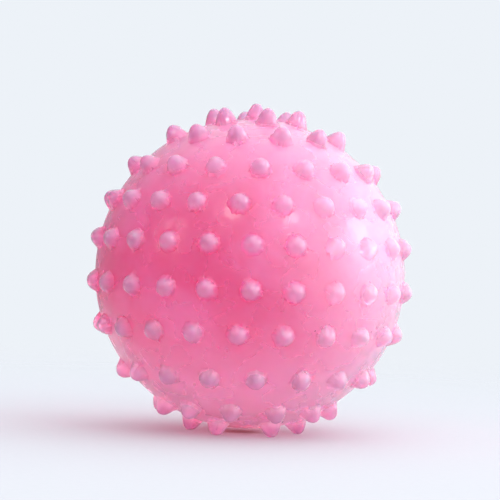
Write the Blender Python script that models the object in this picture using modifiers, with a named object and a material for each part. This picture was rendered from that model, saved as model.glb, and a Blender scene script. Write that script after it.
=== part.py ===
"""A knobbed juggling ball: one hollow soft-vinyl skin with round nubs in rings, and its air valve.

Metres, +Z up. The ball stands on the tips of its lowest ring of nubs at z = 0, with the mould axis,
which all the rings run round, upright through the origin. The front is -Y. One nub is on the top
pole; the bottom pole has the valve instead, inside the lowest ring.
"""

import math

import bmesh
import bpy
from mathutils import Matrix, Vector

# Skin
BODY_RADIUS = 0.0323  # outside of the wall, between the nubs
WALL = 0.0024
BODY_SEGMENTS = 26  # round the ball; half as many from pole to pole
HOLLOW_SEGMENTS = 20

# Nubs: round domes, sunk a little into the wall, and taller towards the poles
NUB_RADIUS = 0.0022
NUB_SINK = 0.0002  # widest section below the wall's outside
NUB_FULLNESS = 1.2  # 1 is half a ball stretched to the nub's height, 2 a paraboloid
EQUATOR_NUB_HEIGHT = 0.00205  # tip above the wall
TOP_NUB_HEIGHT = 0.0034
BOTTOM_NUB_HEIGHT = 0.0029
NUB_SIDES = 6
NUB_BANDS = 4  # from tip to tip of a dome and its mirror image

# Rings of nubs from the top down: latitude, number of nubs, first nub from -Y towards +X
RINGS = (
    (74.5, 6, 15),
    (58.5, 12, 17.5),
    (41.5, 17, 3),
    (26.5, 21, 12),
    (11.5, 23, 0.5),
    (-4.5, 23, 0.5),
    (-20.5, 21, 13.5),
    (-39, 17, 4.5),
    (-57.5, 12, 21),
    (-70.5, 6, 30),
)

# Valve, turned round its own axis; heights are from the ball's centre
GAP = 0.0003
TURN_STEPS = 18
HEAD_RADIUS = 0.0042
HEAD_TOP = 0.0319
HEAD_THICKNESS = 0.0010
HEAD_EDGE = 0.0003  # rounding of the head's rim
STEM_RADIUS = 0.0020
STEM_END_RADIUS = 0.0016
STEM_LENGTH = 0.0070
SLEEVE_WALL = 0.0012
SLEEVE_LENGTH = 0.0056
FLANGE_RADIUS = 0.0054
FLANGE_THICKNESS = 0.0010
BOSS_RADIUS = 0.0070
ROUND_POINTS = 4  # points on a rounded edge or end

RECESS_FLOOR = HEAD_TOP - HEAD_THICKNESS - GAP
RECESS_RADIUS = HEAD_RADIUS + GAP
BORE_RADIUS = STEM_RADIUS + GAP
SLEEVE_RADIUS = BORE_RADIUS + SLEEVE_WALL
HOLE_RADIUS = SLEEVE_RADIUS + GAP
SLEEVE_END = RECESS_FLOOR - SLEEVE_LENGTH
BOSS_END = SLEEVE_END + FLANGE_THICKNESS + GAP

PINK_VINYL = (0.90, 0.16, 0.40, 1.0)
CLEAR_PINK_VINYL = (0.93, 0.45, 0.62, 1.0)
PALE_PLASTIC = (0.95, 0.80, 0.87, 1.0)


def clear_scene():
    for obj in list(bpy.data.objects):
        bpy.data.objects.remove(obj)


def new_collection(name):
    collection = bpy.data.collections.new(name)
    bpy.context.scene.collection.children.link(collection)
    return collection


def new_empty(name, collection, parent=None):
    empty = bpy.data.objects.new(name, None)
    empty.empty_display_size = BODY_RADIUS
    empty.parent = parent
    collection.objects.link(empty)
    return empty


def new_object(name, bm, collection, parent):
    mesh = bpy.data.meshes.new(name)
    bm.to_mesh(mesh)
    bm.free()
    obj = bpy.data.objects.new(name, mesh)
    obj.parent = parent
    collection.objects.link(obj)
    return obj


def new_cutter(name, bm, parent):
    cutter = new_object(name, bm, cutters, parent)
    cutter.hide_render = True
    cutter.display_type = "WIRE"
    return cutter


def plastic(name, color, roughness):
    material = bpy.data.materials.new(name)
    material.use_nodes = True
    shader = material.node_tree.nodes["Principled BSDF"]
    shader.inputs["Base Color"].default_value = color
    shader.inputs["Roughness"].default_value = roughness
    shader.inputs["Metallic"].default_value = 0.0
    material.diffuse_color = color
    return material


def finish(obj, material, sharp_angle=35):
    obj.data.materials.append(material)
    obj.data.shade_smooth()
    obj.data.set_sharp_from_angle(angle=math.radians(sharp_angle))


def combine(obj, operation, operand):
    boolean = obj.modifiers.new(f"{operation.lower()} {operand.name}", "BOOLEAN")
    boolean.operation = operation
    boolean.object = operand
    boolean.solver = "EXACT"


def sphere_mesh(radius, segments):
    bm = bmesh.new()
    bmesh.ops.create_uvsphere(bm, u_segments=segments, v_segments=segments // 2, radius=radius)
    return bm


def profile_mesh(points, closed=False):
    """The edges of a half section, (radius, height) pairs, ready for a Screw."""
    bm = bmesh.new()
    verts = [bm.verts.new((radius, 0, height)) for radius, height in points]
    for first, second in zip(verts, verts[1:]):
        bm.edges.new((first, second))
    if closed:
        bm.edges.new((verts[-1], verts[0]))
    return bm


def turn(obj):
    screw = obj.modifiers.new("turn", "SCREW")
    screw.steps = screw.render_steps = TURN_STEPS
    screw.use_smooth_shade = True
    screw.use_merge_vertices = True
    screw.merge_threshold = 0.00001


def quarter_round(centre_radius, centre_height, across, down):
    """From straight above the centre to straight beside it."""
    return [
        (
            centre_radius + across * math.sin(turned * math.pi / 2),
            centre_height + down * math.cos(turned * math.pi / 2),
        )
        for turned in (step / ROUND_POINTS for step in range(ROUND_POINTS + 1))
    ]


def direction(latitude, azimuth):
    """A unit vector; azimuth 0 is -Y, and a quarter turn is +X."""
    flat = math.cos(latitude)
    return Vector((flat * math.sin(azimuth), -flat * math.cos(azimuth), math.sin(latitude)))


def nub_directions():
    yield Vector((0, 0, 1))
    for latitude, count, first in RINGS:
        for number in range(count):
            yield direction(math.radians(latitude), math.radians(first + number * 360 / count))


def nub_height(outward):
    pole = TOP_NUB_HEIGHT if outward.z > 0 else BOTTOM_NUB_HEIGHT
    return EQUATOR_NUB_HEIGHT + (pole - EQUATOR_NUB_HEIGHT) * outward.z**2


def nub_mesh():
    bm = bmesh.new()
    for outward in nub_directions():
        dome = Matrix.Diagonal((NUB_RADIUS, NUB_RADIUS, nub_height(outward) + NUB_SINK, 1))
        place = Matrix.Translation(outward * (BODY_RADIUS - NUB_SINK))
        turned = outward.to_track_quat("Z", "Y").to_matrix().to_4x4()
        made = bmesh.ops.create_uvsphere(bm, u_segments=NUB_SIDES, v_segments=NUB_BANDS, radius=1)
        for vert in made["verts"]:
            vert.co.z = math.copysign(abs(vert.co.z) ** NUB_FULLNESS, vert.co.z)
        bmesh.ops.transform(bm, matrix=place @ turned @ dome, verts=made["verts"])
    return bm


def boss_mesh():
    top = RECESS_FLOOR + GAP
    bm = bmesh.new()
    bmesh.ops.create_cone(
        bm,
        cap_ends=True,
        segments=TURN_STEPS,
        radius1=BOSS_RADIUS,
        radius2=BOSS_RADIUS,
        depth=top - BOSS_END,
        matrix=Matrix.Translation((0, 0, (top + BOSS_END) / 2)),
    )
    return bm


def valve_hole_profile():
    above = BODY_RADIUS + WALL
    below = BOSS_END - WALL
    return [
        (0, above),
        (RECESS_RADIUS, above),
        (RECESS_RADIUS, RECESS_FLOOR),
        (HOLE_RADIUS, RECESS_FLOOR),
        (HOLE_RADIUS, below),
        (0, below),
    ]


def sleeve_profile():
    flange_top = SLEEVE_END + FLANGE_THICKNESS
    return [
        (BORE_RADIUS, RECESS_FLOOR),
        (SLEEVE_RADIUS, RECESS_FLOOR),
        (SLEEVE_RADIUS, flange_top),
        (FLANGE_RADIUS, flange_top),
        (FLANGE_RADIUS, SLEEVE_END),
        (BORE_RADIUS, SLEEVE_END),
    ]


def plug_profile():
    underside = HEAD_TOP - HEAD_THICKNESS
    end = underside - STEM_LENGTH
    rim = quarter_round(HEAD_RADIUS - HEAD_EDGE, HEAD_TOP - HEAD_EDGE, HEAD_EDGE, HEAD_EDGE)
    tip = quarter_round(0, end + STEM_END_RADIUS, STEM_END_RADIUS, -STEM_END_RADIUS)
    return [(0, HEAD_TOP), *rim, (HEAD_RADIUS, underside), (STEM_RADIUS, underside), *reversed(tip)]


def build_skin(mould_axis, valve_axis):
    skin = new_object("skin", sphere_mesh(BODY_RADIUS, BODY_SEGMENTS), ball, mould_axis)
    nubs = new_cutter("nub_domes", nub_mesh(), mould_axis)
    hollow = new_cutter("hollow", sphere_mesh(BODY_RADIUS - WALL, HOLLOW_SEGMENTS), mould_axis)
    boss = new_cutter("valve_boss", boss_mesh(), valve_axis)
    hole = new_cutter("valve_hole", profile_mesh(valve_hole_profile()), valve_axis)
    turn(hole)
    combine(skin, "UNION", nubs)
    combine(skin, "DIFFERENCE", hollow)
    combine(skin, "UNION", boss)
    combine(skin, "DIFFERENCE", hole)
    finish(skin, plastic("pink_vinyl", PINK_VINYL, 0.22))


def build_valve(valve_axis):
    sleeve = new_object("valve_sleeve", profile_mesh(sleeve_profile(), closed=True), ball, valve_axis)
    turn(sleeve)
    finish(sleeve, plastic("clear_pink_vinyl", CLEAR_PINK_VINYL, 0.3))
    plug = new_object("valve_plug", profile_mesh(plug_profile()), ball, valve_axis)
    turn(plug)
    finish(plug, plastic("pale_plastic", PALE_PLASTIC, 0.35))


clear_scene()
ball = new_collection("juggling_ball")
cutters = new_collection("cutters")

lowest = direction(math.radians(RINGS[-1][0]), 0)
mould_axis = new_empty("mould_axis", ball)
mould_axis.location.z = -lowest.z * (BODY_RADIUS + nub_height(lowest))
valve_axis = new_empty("valve_axis", ball, mould_axis)
valve_axis.rotation_euler = (math.pi, 0, 0)  # its +Z points out of the ball, straight down

build_skin(mould_axis, valve_axis)
build_valve(valve_axis)
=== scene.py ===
"""Looks for the knobbed juggling ball: a fine skin with filleted nubs, a finished valve, floor, light and camera.

Metres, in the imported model's frame. The nubs stand where the CAD skin's nub tips are.
"""

import math

import bmesh
import bpy
import numpy as np
from mathutils import Matrix, Vector, noise


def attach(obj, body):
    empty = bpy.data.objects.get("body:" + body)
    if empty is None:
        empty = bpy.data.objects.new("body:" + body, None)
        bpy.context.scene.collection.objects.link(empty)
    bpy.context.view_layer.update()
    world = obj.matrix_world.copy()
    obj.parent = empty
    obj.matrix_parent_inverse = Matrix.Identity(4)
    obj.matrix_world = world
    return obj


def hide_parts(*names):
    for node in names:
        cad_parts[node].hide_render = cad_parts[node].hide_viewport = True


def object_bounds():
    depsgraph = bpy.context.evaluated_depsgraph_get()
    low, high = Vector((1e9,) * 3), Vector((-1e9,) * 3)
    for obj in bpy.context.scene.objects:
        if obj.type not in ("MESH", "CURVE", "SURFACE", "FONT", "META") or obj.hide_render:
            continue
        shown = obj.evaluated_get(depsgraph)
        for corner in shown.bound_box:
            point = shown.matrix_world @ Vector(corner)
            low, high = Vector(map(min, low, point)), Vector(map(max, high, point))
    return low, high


# Skin, as in the CAD
BODY_RADIUS = 0.0323
WALL = 0.0024
TOP_NUB_HEIGHT = 0.0034
LEAST_TIP = 0.0018  # a nub's tip stands further out of the wall than this
NUB_RADIUS = 0.0022
NUB_SINK = 0.0002
NUB_FULLNESS = 0.6  # 0.5 is half an egg, 1 a paraboloid

# Skin, finer than the CAD
NUB_FILLET = 0.0004  # height over which a nub and the wall run together
NUB_SIDES = 24
DOME_RINGS = 7
FOOT_RINGS = 7
FOOT_START = 0.85  # of the nub's radius
FOOT_END = 1.4
WALL_SPACING = 0.0013  # between points of the wall
WALL_WAVE = 0.00010  # how far the wall's outside wanders in or out
INSIDE_WAVE = 0.00035
WAVE_LENGTH = 0.011
INSIDE_SEGMENTS = 96

# Valve, as in the CAD; heights are from the ball's centre towards the bottom pole
GAP = 0.0003
HEAD_RADIUS = 0.0042
HEAD_TOP = 0.0319
HEAD_THICKNESS = 0.0010
STEM_RADIUS = 0.0020
STEM_END_RADIUS = 0.0016
STEM_LENGTH = 0.0070
SLEEVE_WALL = 0.0012
SLEEVE_LENGTH = 0.0056
FLANGE_RADIUS = 0.0054
FLANGE_THICKNESS = 0.0010
BOSS_RADIUS = 0.0070

RECESS_FLOOR = HEAD_TOP - HEAD_THICKNESS - GAP
RECESS_RADIUS = HEAD_RADIUS + GAP
BORE_RADIUS = STEM_RADIUS + GAP
SLEEVE_RADIUS = BORE_RADIUS + SLEEVE_WALL
HOLE_RADIUS = SLEEVE_RADIUS + GAP
SLEEVE_END = RECESS_FLOOR - SLEEVE_LENGTH
BOSS_END = SLEEVE_END + FLANGE_THICKNESS + GAP

# Valve, finer than the CAD
TURN_STEPS = 96
EDGE = 0.0003  # rounding of moulded edges
EDGE_POINTS = 6
GROOVE_RADIUS = 0.0029  # a ring moulded into the plug's head
GROOVE_DEPTH = 0.00018

PAINTED_LIGHT_SIDE = (0.88, -0.1, 0.12)  # towards the light; the ball is painted paler on this side, painted light
LAMP_SHARE = 0.95  # of a lamp's light that crosses one surface of the vinyl

# Studio
FLOOR_RADIUS = 0.30
FLOOR_FADE_START = 0.05
BRIGHT_SIDE = (0.72, -0.1, 0.68)
BRIGHT = 2.3  # light from the bright side, against the backdrop's brightness
DIM = 0.44  # light from the other

# Camera
CAMERA_DISTANCE = 15 * BODY_RADIUS
CAMERA_ELEVATION = math.radians(1.4)
CAMERA_ROLL = math.radians(2.3)
CAMERA_TILT = math.radians(0.59)  # above the ball's centre
LENS_MM = 166.8


def srgb(red, green, blue):
    """A colour as seen on screen, 0 to 255, to the linear one that shaders use."""
    shares = (value / 255 for value in (red, green, blue))
    return tuple(s / 12.92 if s <= 0.04045 else ((s + 0.055) / 1.055) ** 2.4 for s in shares) + (1.0,)


BACKDROP = srgb(237, 242, 248)


# Meshes


def new_object(name, bm):
    mesh = bpy.data.meshes.new(name)
    bm.to_mesh(mesh)
    bm.free()
    obj = bpy.data.objects.new(name, mesh)
    bpy.context.scene.collection.objects.link(obj)
    return obj


def smooth(obj, sharp_angle=40):
    obj.data.shade_smooth()
    obj.data.set_sharp_from_angle(angle=math.radians(sharp_angle))


def combine(obj, operation, operand):
    """Changes obj's mesh and uses up the operand."""
    boolean = obj.modifiers.new(operation, "BOOLEAN")
    boolean.operation = operation
    boolean.object = operand
    boolean.solver = "EXACT"
    evaluated = obj.evaluated_get(bpy.context.evaluated_depsgraph_get())
    made = bpy.data.meshes.new_from_object(evaluated)
    obj.modifiers.remove(boolean)
    obj.data = made
    bpy.data.objects.remove(operand)


def quarter_round(centre_radius, centre_height, across, down):
    """From straight above the centre to straight beside it."""
    turns = (step / EDGE_POINTS * math.pi / 2 for step in range(EDGE_POINTS + 1))
    return [(centre_radius + across * math.sin(turn), centre_height + down * math.cos(turn)) for turn in turns]


def turned(name, profile):
    """A closed half section, (radius, height from the ball's centre) pairs, turned round the bottom pole's axis."""
    bm = bmesh.new()
    verts = [bm.verts.new((radius, 0, -height)) for radius, height in profile]
    edges = [bm.edges.new(pair) for pair in zip(verts, verts[1:])]
    if profile[0][0] > 0:
        edges.append(bm.edges.new((verts[-1], verts[0])))
    bmesh.ops.spin(
        bm, geom=verts + edges, cent=(0, 0, 0), axis=(0, 0, 1), angle=math.tau, steps=TURN_STEPS, use_merge=True
    )
    bmesh.ops.remove_doubles(bm, verts=bm.verts, dist=0.000001)
    bmesh.ops.recalc_face_normals(bm, faces=bm.faces)
    bmesh.ops.translate(bm, verts=bm.verts, vec=CENTRE)
    return new_object(name, bm)


# Skin


def nub_tips(skin):
    """From the ball's centre to each nub's tip."""
    corners = [skin.matrix_world @ corner.co - CENTRE for corner in skin.data.vertices]
    outer = [corner for corner in corners if corner.length > BODY_RADIUS + LEAST_TIP]
    tips = []
    for corner in sorted(outer, key=lambda corner: corner.length, reverse=True):
        if all((corner - tip).length > 2 * NUB_RADIUS for tip in tips):
            tips.append(corner)
    return tips


def skin_height(reach, nub_height):
    """How high the skin is over the ball's centre, at this reach from a nub's axis."""
    share = 1 - (reach / NUB_RADIUS) ** 2
    rise = math.copysign(abs(share) ** NUB_FULLNESS, share)
    dome = BODY_RADIUS - NUB_SINK + (nub_height + NUB_SINK) * rise
    wall = math.sqrt(BODY_RADIUS**2 - reach**2)
    nearness = max(NUB_FILLET - abs(dome - wall), 0) / NUB_FILLET
    return max(dome, wall) + NUB_FILLET * nearness**2 / 4


def nub_points(tip):
    """The points of a nub and its foot, in rings round its axis."""
    outward = tip.normalized()
    nub_height = tip.length - BODY_RADIUS
    across = outward.orthogonal().normalized()
    along = outward.cross(across)
    reaches = [*np.linspace(0, FOOT_START, DOME_RINGS)[1:], *np.linspace(FOOT_START, FOOT_END, FOOT_RINGS)[1:]]
    yield tip
    for ring, share in enumerate(reaches):
        reach = share * NUB_RADIUS
        for side in range(NUB_SIDES):
            turn = (side + ring % 2 / 2) * math.tau / NUB_SIDES
            flat = across * math.cos(turn) + along * math.sin(turn)
            yield outward * skin_height(reach, nub_height) + flat * reach


def wall_points(tips):
    """Evenly spread points of the wall, clear of every nub's foot."""
    count = round(4 * math.pi * (BODY_RADIUS / WALL_SPACING) ** 2)
    number = np.arange(count)
    height = 1 - (2 * number + 1) / count
    turn = number * math.pi * (3 - math.sqrt(5))
    flat = np.sqrt(1 - height**2)
    spread = np.stack([flat * np.cos(turn), flat * np.sin(turn), height], axis=1)
    outward = np.array([tip.normalized() for tip in tips])
    clear = math.cos((FOOT_END * NUB_RADIUS + WALL_SPACING / 2) / BODY_RADIUS)
    return [Vector(point) * BODY_RADIUS for point in spread[(spread @ outward.T).max(axis=1) < clear]]


def waved(point, size):
    """The point, moved in or out as soft vinyl wanders from a true ball, but not at the foot it stands on."""
    outward = point.normalized()
    return point + outward * (1 + outward.z) * size * noise.noise(point / WAVE_LENGTH)


def skin_outside(tips):
    """A hull of the points' directions gives the faces, then each point goes to its real height."""
    places = [point for tip in tips for point in nub_points(tip)] + wall_points(tips)
    bm = bmesh.new()
    for place in places:
        bm.verts.new(place.normalized())
    bm.verts.index_update()
    bmesh.ops.convex_hull(bm, input=bm.verts)
    bm.verts.ensure_lookup_table()
    for vert, place in zip(bm.verts, places):
        vert.co = CENTRE + waved(place, WALL_WAVE)
        vert.co.z = max(vert.co.z, 0)
    bmesh.ops.delete(bm, geom=[vert for vert in bm.verts if not vert.link_faces], context="VERTS")
    return new_object("skin_outside", bm)


def skin_inside():
    bm = bmesh.new()
    bmesh.ops.create_uvsphere(
        bm, u_segments=INSIDE_SEGMENTS, v_segments=INSIDE_SEGMENTS // 2, radius=BODY_RADIUS - WALL
    )
    for vert in bm.verts:
        vert.co = CENTRE + waved(vert.co * 1.0, INSIDE_WAVE)
    return new_object("skin_inside", bm)


def boss_profile():
    top = RECESS_FLOOR + GAP
    edge = quarter_round(BOSS_RADIUS - EDGE, BOSS_END + EDGE, EDGE, -EDGE)
    return [(0, BOSS_END), *edge, (BOSS_RADIUS, top), (0, top)]


def valve_hole_profile():
    lip_height = math.sqrt(BODY_RADIUS**2 - RECESS_RADIUS**2)
    lip = [(2 * (RECESS_RADIUS + EDGE) - r, h) for r, h in quarter_round(RECESS_RADIUS + EDGE, lip_height - EDGE, EDGE, EDGE)]
    above = BODY_RADIUS + WALL
    below = BOSS_END - WALL
    return [
        (0, above),
        (RECESS_RADIUS + EDGE, above),
        *lip,
        (RECESS_RADIUS, RECESS_FLOOR),
        (HOLE_RADIUS, RECESS_FLOOR),
        (HOLE_RADIUS, below),
        (0, below),
    ]


def build_skin():
    skin = skin_outside(nub_tips(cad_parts["skin"]))
    skin.name = "vinyl_skin"
    combine(skin, "DIFFERENCE", skin_inside())
    combine(skin, "UNION", turned("boss", boss_profile()))
    combine(skin, "DIFFERENCE", turned("valve_hole", valve_hole_profile()))
    smooth(skin)
    return skin


# Valve


def sleeve_profile():
    flange_top = SLEEVE_END + FLANGE_THICKNESS
    bore_mouth = quarter_round(BORE_RADIUS + EDGE, RECESS_FLOOR - EDGE, -EDGE, EDGE)
    rim = quarter_round(SLEEVE_RADIUS - EDGE, RECESS_FLOOR - EDGE, EDGE, EDGE)
    flange = quarter_round(FLANGE_RADIUS - EDGE, flange_top - EDGE, EDGE, EDGE)
    flange_foot = quarter_round(FLANGE_RADIUS - EDGE, SLEEVE_END + EDGE, EDGE, -EDGE)
    bore_end = quarter_round(BORE_RADIUS + EDGE, SLEEVE_END + EDGE, -EDGE, -EDGE)
    return [
        *reversed(bore_mouth),
        *rim,
        (SLEEVE_RADIUS, flange_top),
        *flange,
        *reversed(flange_foot),
        *bore_end,
    ]


def plug_profile():
    underside = HEAD_TOP - HEAD_THICKNESS
    end = underside - STEM_LENGTH
    groove = [
        (GROOVE_RADIUS - GROOVE_DEPTH * math.cos(turn), HEAD_TOP - GROOVE_DEPTH * math.sin(turn))
        for turn in np.linspace(0, math.pi, 2 * EDGE_POINTS + 1)
    ]
    rim = quarter_round(HEAD_RADIUS - EDGE, HEAD_TOP - EDGE, EDGE, EDGE)
    tip = quarter_round(0, end + STEM_END_RADIUS, STEM_END_RADIUS, -STEM_END_RADIUS)
    return [(0, HEAD_TOP), *groove, *rim, (HEAD_RADIUS, underside), (STEM_RADIUS, underside), *reversed(tip)]


def build_sleeve():
    sleeve = turned("sleeve", sleeve_profile())
    smooth(sleeve)
    return sleeve


def build_plug():
    plug = turned("plug", plug_profile())
    smooth(plug)
    return plug


# Materials


def new_material(name):
    material = bpy.data.materials.new(name)
    material.use_nodes = True
    return material, material.node_tree, material.node_tree.nodes["Principled BSDF"]


def settings(shader, **values):
    for name, value in values.items():
        shader.inputs[name.replace("_", " ")].default_value = value


def node(tree, kind, **values):
    made = tree.nodes.new(kind)
    for name, value in values.items():
        setattr(made, name, value)
    return made


def place_in_ball(tree):
    """Where a point is, from the ball's centre, in metres."""
    place = node(tree, "ShaderNodeTexCoord").outputs["Object"]
    from_centre = node(tree, "ShaderNodeVectorMath", operation="SUBTRACT")
    from_centre.inputs[1].default_value = CENTRE
    tree.links.new(place, from_centre.inputs[0])
    return from_centre.outputs[0]


def cloudiness(tree, place, size, detail=3.0, roughness=0.5, distortion=0.0):
    """Noise with features of about this size in metres."""
    clouds = node(tree, "ShaderNodeTexNoise")
    settings(clouds, Scale=1 / size, Detail=detail, Roughness=roughness, Distortion=distortion)
    tree.links.new(place, clouds.inputs["Vector"])
    return clouds.outputs["Fac"]


def ranged(tree, value, low, high, to_low=0.0, to_high=1.0):
    mapped = node(tree, "ShaderNodeMapRange", interpolation_type="SMOOTHSTEP")
    for socket, number in zip(("From Min", "From Max", "To Min", "To Max"), (low, high, to_low, to_high)):
        mapped.inputs[socket].default_value = number
    tree.links.new(value, mapped.inputs["Value"])
    return mapped.outputs["Result"]


def mixed(tree, share, first, second):
    """A colour between two; first and second are colours or outputs."""
    mix = node(tree, "ShaderNodeMix", data_type="RGBA")
    tree.links.new(share, mix.inputs["Factor"])
    for socket, colour in ((mix.inputs[6], first), (mix.inputs[7], second)):
        if isinstance(colour, tuple):
            socket.default_value = colour
        else:
            tree.links.new(colour, socket)
    return mix.outputs[2]


def bumped(tree, height, distance, strength=1.0, under=None):
    bump = node(tree, "ShaderNodeBump")
    settings(bump, Distance=distance, Strength=strength)
    tree.links.new(height, bump.inputs["Height"])
    if under is not None:
        tree.links.new(under, bump.inputs["Normal"])
    return bump.outputs["Normal"]


def let_lamps_through(tree, shader, colour):
    """Light from lamps crosses the surface, tinted, as it does through soft clear vinyl."""
    tint = node(tree, "ShaderNodeBsdfTransparent")
    tint.inputs["Color"].default_value = colour
    shadow = node(tree, "ShaderNodeLightPath").outputs["Is Shadow Ray"]
    surface = node(tree, "ShaderNodeMixShader")
    tree.links.new(ranged(tree, shadow, 0, 1, 0, LAMP_SHARE), surface.inputs["Fac"])
    tree.links.new(shader.outputs[0], surface.inputs[1])
    tree.links.new(tint.outputs[0], surface.inputs[2])
    tree.links.new(surface.outputs[0], tree.nodes["Material Output"].inputs["Surface"])


def skin_vinyl():
    """Clear soft vinyl, dyed pink: deep where light crosses two walls, paler and cooler in the solid nubs. The
    nubs' pale tone is partly painted light, and the wall's top, bottom and one side are painted paler: painted
    light for where light falls on them and glows through.
    """
    material, tree, shader = new_material("skin_vinyl")
    place = place_in_ball(tree)
    reach = node(tree, "ShaderNodeVectorMath", operation="LENGTH")
    tree.links.new(place, reach.inputs[0])
    nub_share = ranged(tree, reach.outputs["Value"], BODY_RADIUS + 0.0002, BODY_RADIUS + 0.0018)
    tree.links.new(ranged(tree, nub_share, 0, 1, 0.6, 0.65), shader.inputs["Transmission Weight"])

    swirls = cloudiness(tree, place, 0.016, detail=4.0, distortion=0.8)
    wall_dye_and_painted_light = mixed(tree, ranged(tree, swirls, 0.35, 0.65), srgb(232, 113, 167), srgb(237, 138, 189))
    height = node(tree, "ShaderNodeSeparateXYZ")
    tree.links.new(place, height.inputs[0])
    # Painted light: the top of the wall is painted paler, as light from above makes it look.
    painted_top_light_share = ranged(tree, height.outputs["Z"], 0.3 * BODY_RADIUS, BODY_RADIUS, 0, 0.6)
    wall_dye_and_painted_light = mixed(tree, painted_top_light_share, wall_dye_and_painted_light, srgb(248, 180, 214))
    # Painted light: the bottom of the wall is painted paler, for the glow of light coming through it.
    painted_bottom_light_share = ranged(tree, height.outputs["Z"], -0.1 * BODY_RADIUS, -BODY_RADIUS, 0, 1)
    wall_dye_and_painted_light = mixed(tree, painted_bottom_light_share, wall_dye_and_painted_light, srgb(252, 200, 224))
    # Painted light: the side facing the light is painted paler, as if lit strongly from there.
    sideways = node(tree, "ShaderNodeVectorMath", operation="DOT_PRODUCT")
    sideways.inputs[1].default_value = Vector(PAINTED_LIGHT_SIDE).normalized()
    tree.links.new(place, sideways.inputs[0])
    painted_side_light_share = ranged(tree, sideways.outputs["Value"], 0.1 * BODY_RADIUS, BODY_RADIUS, 0, 0.85)
    # Nubs: a paler tone, partly the milky vinyl's own and partly painted light that the solid nubs gather from
    # bright surroundings.
    colour = mixed(tree, nub_share, wall_dye_and_painted_light, srgb(214, 160, 198))
    colour = mixed(tree, painted_side_light_share, colour, srgb(254, 206, 228))
    tree.links.new(colour, shader.inputs["Base Color"])

    tree.links.new(ranged(tree, nub_share, 0, 1, 0.2, 1.0), shader.inputs["Coat Weight"])
    ripples = cloudiness(tree, place, 0.006, detail=2.0)
    rippled = bumped(tree, ripples, 0.0004)
    grain = cloudiness(tree, place, 0.0009, detail=1.0)
    tree.links.new(rippled, shader.inputs["Normal"])
    tree.links.new(bumped(tree, grain, 0.000004, under=rippled), shader.inputs["Coat Normal"])
    wall_roughness = ranged(tree, ripples, 0.3, 0.7, 0.22, 0.32)
    roughness = node(tree, "ShaderNodeMix")
    tree.links.new(nub_share, roughness.inputs["Factor"])
    tree.links.new(wall_roughness, roughness.inputs["A"])
    roughness.inputs["B"].default_value = 0.12
    tree.links.new(roughness.outputs["Result"], shader.inputs["Roughness"])
    settings(
        shader,
        IOR=1.5,
        Subsurface_Weight=1.0,
        Subsurface_Radius=(1.0, 0.35, 0.55),
        Subsurface_Scale=0.008,
        Coat_Roughness=0.06,
        Coat_IOR=1.5,
    )
    let_lamps_through(tree, shader, srgb(255, 236, 240))
    return material


def sleeve_vinyl():
    """The softer, clearer insert."""
    material, tree, shader = new_material("sleeve_vinyl")
    place = place_in_ball(tree)
    clouds = cloudiness(tree, place, 0.002)
    tree.links.new(mixed(tree, clouds, srgb(244, 150, 190), srgb(250, 176, 206)), shader.inputs["Base Color"])
    tree.links.new(ranged(tree, clouds, 0.3, 0.7, 0.38, 0.5), shader.inputs["Roughness"])
    tree.links.new(bumped(tree, cloudiness(tree, place, 0.0004), 0.00002), shader.inputs["Normal"])
    settings(shader, Subsurface_Weight=0.8, Subsurface_Radius=(1.0, 0.4, 0.6), Subsurface_Scale=0.003)
    let_lamps_through(tree, shader, srgb(255, 190, 200))
    return material


def plug_plastic():
    """Harder pink plastic with a fine moulded grain."""
    material, tree, shader = new_material("plug_plastic")
    place = place_in_ball(tree)
    clouds = cloudiness(tree, place, 0.003)
    tree.links.new(mixed(tree, clouds, srgb(240, 132, 166), srgb(246, 146, 178)), shader.inputs["Base Color"])
    grain = cloudiness(tree, place, 0.00025, detail=4.0)
    tree.links.new(ranged(tree, grain, 0.3, 0.7, 0.34, 0.48), shader.inputs["Roughness"])
    tree.links.new(bumped(tree, grain, 0.00002), shader.inputs["Normal"])
    settings(shader, Subsurface_Weight=0.4, Subsurface_Radius=(1.0, 0.6, 0.7), Subsurface_Scale=0.0015)
    let_lamps_through(tree, shader, srgb(255, 160, 172))
    return material


# Studio


def floor_cloth():
    """Matt and pale, fading out with distance from the ball so that it has no edge or horizon."""
    material, tree, shader = new_material("floor_cloth")
    place = node(tree, "ShaderNodeTexCoord").outputs["Object"]
    reach = node(tree, "ShaderNodeVectorMath", operation="LENGTH")
    tree.links.new(place, reach.inputs[0])
    grain = cloudiness(tree, place, 0.0015, detail=4.0)
    tree.links.new(mixed(tree, grain, srgb(195, 195, 198), srgb(200, 200, 203)), shader.inputs["Base Color"])
    settings(shader, Roughness=0.9, Specular_IOR_Level=0.1)
    fade = node(tree, "ShaderNodeMixShader")
    tree.links.new(ranged(tree, reach.outputs["Value"], FLOOR_FADE_START, FLOOR_RADIUS), fade.inputs["Fac"])
    tree.links.new(shader.outputs[0], fade.inputs[1])
    tree.links.new(node(tree, "ShaderNodeBsdfTransparent").outputs[0], fade.inputs[2])
    tree.links.new(fade.outputs[0], tree.nodes["Material Output"].inputs["Surface"])
    return material




def build_floor():
    bm = bmesh.new()
    bmesh.ops.create_circle(bm, cap_ends=True, segments=96, radius=FLOOR_RADIUS)
    floor = new_object("floor", bm)
    floor.data.materials.append(floor_cloth())


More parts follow.
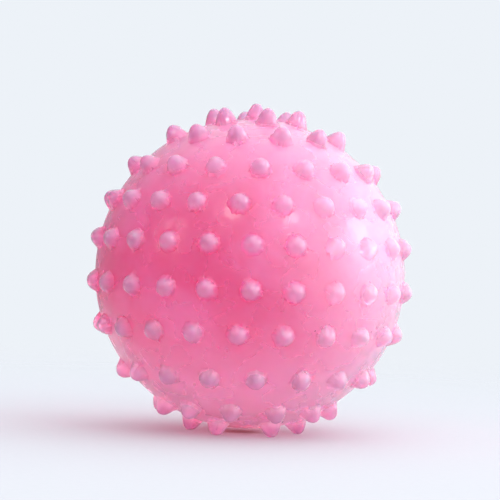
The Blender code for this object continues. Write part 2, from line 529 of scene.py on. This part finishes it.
def build_world():
    world = bpy.data.worlds.new("pale_studio")
    world.use_nodes = True
    tree = world.node_tree
    background = tree.nodes["Background"]
    background.inputs["Color"].default_value = BACKDROP
    towards = node(tree, "ShaderNodeVectorMath", operation="DOT_PRODUCT")
    towards.inputs[1].default_value = Vector(BRIGHT_SIDE).normalized()
    tree.links.new(node(tree, "ShaderNodeTexCoord").outputs["Generated"], towards.inputs[0])
    strength = node(tree, "ShaderNodeMix")
    tree.links.new(node(tree, "ShaderNodeLightPath").outputs["Is Camera Ray"], strength.inputs["Factor"])
    tree.links.new(ranged(tree, towards.outputs["Value"], -0.4, 1, DIM, BRIGHT), strength.inputs["A"])
    strength.inputs["B"].default_value = 1.0
    tree.links.new(strength.outputs["Result"], background.inputs["Strength"])
    bpy.context.scene.world = world


def area_light(name, towards, distance, width, height, power, colour=(1, 1, 1)):
    """A rectangle of light in the direction towards from the ball's centre, facing the ball."""
    light = bpy.data.lights.new(name, "AREA")
    light.shape = "RECTANGLE"
    light.size = width
    light.size_y = height
    light.energy = power
    light.color = colour
    lamp = bpy.data.objects.new(name, light)
    lamp.location = CENTRE + Vector(towards).normalized() * distance
    lamp.rotation_euler = Vector(towards).to_track_quat("Z", "Y").to_euler()
    bpy.context.scene.collection.objects.link(lamp)


def build_lights():
    area_light("window", (0.94, 0.08, 0.33), 0.6, 0.13, 0.20, 0.4)
    area_light("window_side", (0.86, -0.34, 0.38), 0.6, 0.06, 0.16, 0.14)
    area_light("panes_right", (0.42, -0.62, 0.66), 0.5, 0.06, 0.08, 0.20)
    area_light("panes_left", (-0.22, -0.66, 0.70), 0.5, 0.06, 0.08, 0.11)
    area_light("fill", (-0.85, -0.45, 0.35), 0.8, 0.25, 0.3, 0.5)


def build_camera():
    camera = bpy.data.objects.new("camera", bpy.data.cameras.new("camera"))
    camera.data.lens = LENS_MM
    camera.data.clip_start = 0.01
    back = Vector((0, -math.cos(CAMERA_ELEVATION), math.sin(CAMERA_ELEVATION)))
    turn = back.to_track_quat("Z", "Y").to_matrix()
    turn = turn @ Matrix.Rotation(CAMERA_ROLL, 3, "Z") @ Matrix.Rotation(CAMERA_TILT, 3, "X")
    camera.matrix_world = Matrix.Translation(CENTRE + back * CAMERA_DISTANCE) @ turn.to_4x4()
    bpy.context.scene.collection.objects.link(camera)
    bpy.context.scene.camera = camera


def add_piece(piece, stands_for, body, material):
    piece.data.materials.clear()
    piece.data.materials.append(material)
    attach(piece, body)
    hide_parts(stands_for)


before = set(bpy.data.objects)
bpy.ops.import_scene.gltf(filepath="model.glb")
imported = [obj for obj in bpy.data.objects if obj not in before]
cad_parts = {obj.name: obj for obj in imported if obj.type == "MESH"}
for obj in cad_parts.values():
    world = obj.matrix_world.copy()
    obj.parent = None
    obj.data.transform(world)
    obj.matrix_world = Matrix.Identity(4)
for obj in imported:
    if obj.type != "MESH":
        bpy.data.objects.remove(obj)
cad_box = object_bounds()
CENTRE = Vector((0, 0, cad_box[1][2] - TOP_NUB_HEIGHT - BODY_RADIUS))

add_piece(build_skin(), "skin", "ball", skin_vinyl())
add_piece(build_sleeve(), "valve_sleeve", "ball", sleeve_vinyl())
add_piece(build_plug(), "valve_plug", "plug", plug_plastic())
build_floor()
build_world()
build_lights()
build_camera()
bpy.context.scene.view_settings.view_transform = "Standard"
